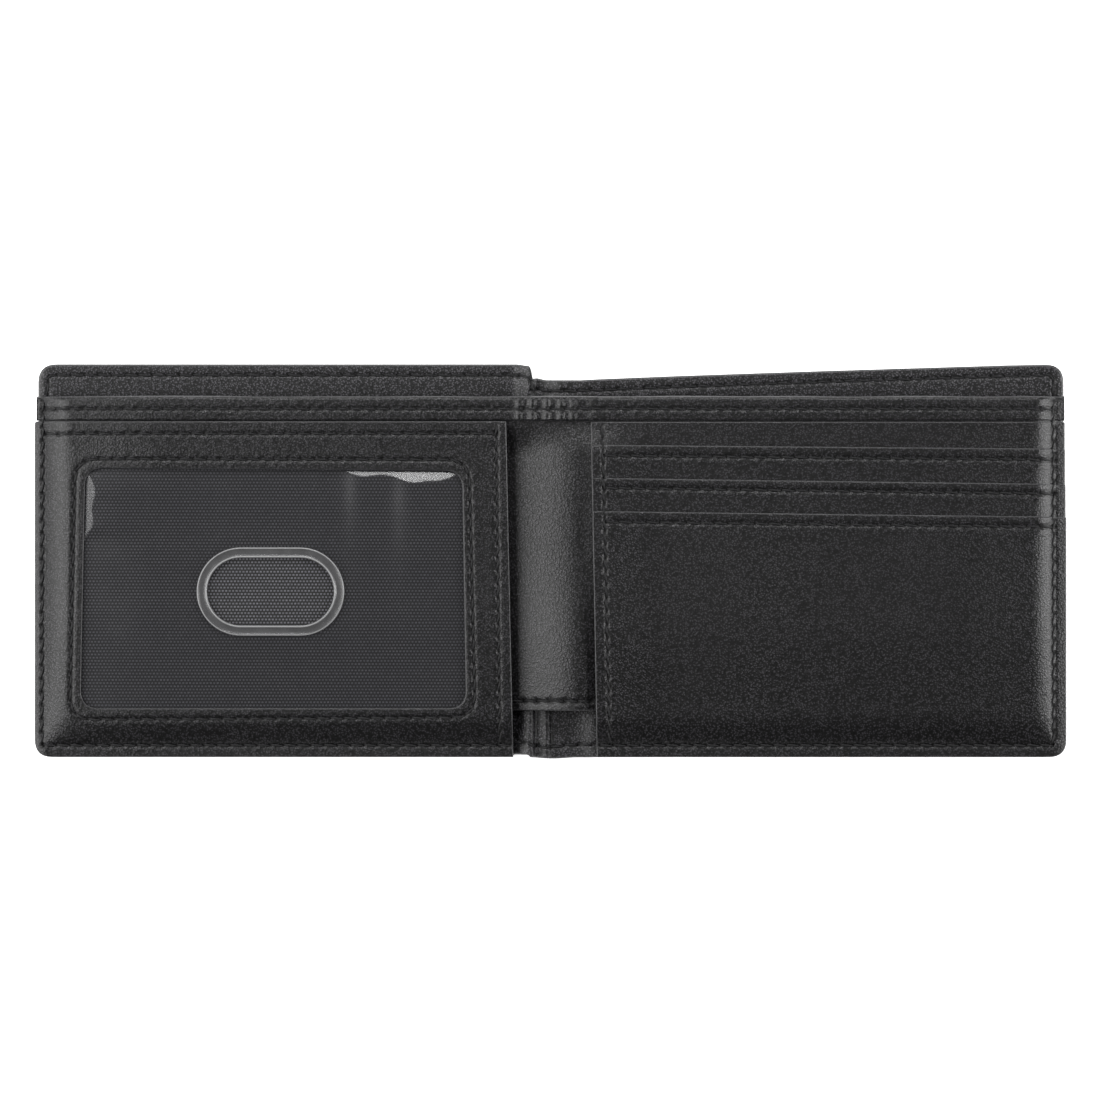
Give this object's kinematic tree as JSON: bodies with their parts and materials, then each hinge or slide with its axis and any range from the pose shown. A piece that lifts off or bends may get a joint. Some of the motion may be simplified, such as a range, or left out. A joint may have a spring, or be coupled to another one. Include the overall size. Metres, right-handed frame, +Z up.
{
  "type": "bifold wallet",
  "caption": "Slim folding leather wallet lying open: identity-card window on one leaf, stepped card slots on the other, full-length note compartment behind.",
  "frame": {"origin": "centre of the open wallet's footprint, on the table", "axes": "+X along the open wallet towards the card-slot leaf, +Y towards the open top edge, +Z up, the way the pockets face"},
  "size_m": [0.2336, 0.089, 0.0099],
  "materials": {
    "pebbled_leather": "fine pebble grain, low sheen, black",
    "facing_leather": "fine pebble grain, matt, black",
    "nylon_lining": "plain-woven black nylon",
    "clear_film": "clear flexible film, glossy",
    "stiffener_board": "thin pressed board",
    "thread": "twisted black polyester thread"
  },
  "bodies": {
    "right_leaf": {"band_thread_right": "thread", "card_panel_base": "pebbled_leather", "card_side_thread": "thread", "cover_facing_right": "facing_leather", "cover_right": "pebbled_leather", "cover_stiffener_right": "stiffener_board", "cover_top_thread_right": "thread", "divider_band_right": "pebbled_leather", "divider_lining_right": "nylon_lining", "divider_right": "pebbled_leather", "edge_thread_right": "thread", "front_pocket": "pebbled_leather", "front_pocket_thread": "thread", "hem_thread_right": "thread", "slot_1_liner": "nylon_lining", "slot_1_strip": "pebbled_leather", "slot_1_thread": "thread", "slot_2_liner": "nylon_lining", "slot_2_strip": "pebbled_leather", "slot_2_thread": "thread"},
    "spine": {"band_thread_spine": "thread", "cover_bottom_thread_spine": "thread", "cover_facing_spine": "facing_leather", "cover_spine": "pebbled_leather", "cover_top_thread_spine": "thread", "divider_band_spine": "pebbled_leather", "divider_lining_spine": "nylon_lining", "divider_spine": "pebbled_leather", "hem_thread_spine": "thread"},
    "left_leaf": {"band_thread_left": "thread", "cover_facing_left": "facing_leather", "cover_left": "pebbled_leather", "cover_stiffener_left": "stiffener_board", "cover_top_thread_left": "thread", "divider_band_left": "pebbled_leather", "divider_left": "pebbled_leather", "divider_lining_left": "nylon_lining", "edge_thread_left": "thread", "hem_thread_left": "thread", "id_pocket_backing": "nylon_lining", "id_side_thread": "thread", "id_top_thread": "thread", "id_window_film": "clear_film", "id_window_frame": "pebbled_leather", "window_thread": "thread"}
  },
  "joints": [
    {"name": "right_fold", "type": "hinge", "parent": "right_leaf", "child": "spine", "pos_m": [0.0042, 0, 0.007], "axis": [0, 1, 0], "range_deg": [0, 90]},
    {"name": "left_fold", "type": "hinge", "parent": "spine", "child": "left_leaf", "pos_m": [-0.0042, 0, 0.007], "axis": [0, 1, 0], "range_deg": [0, 90]}
  ]
}
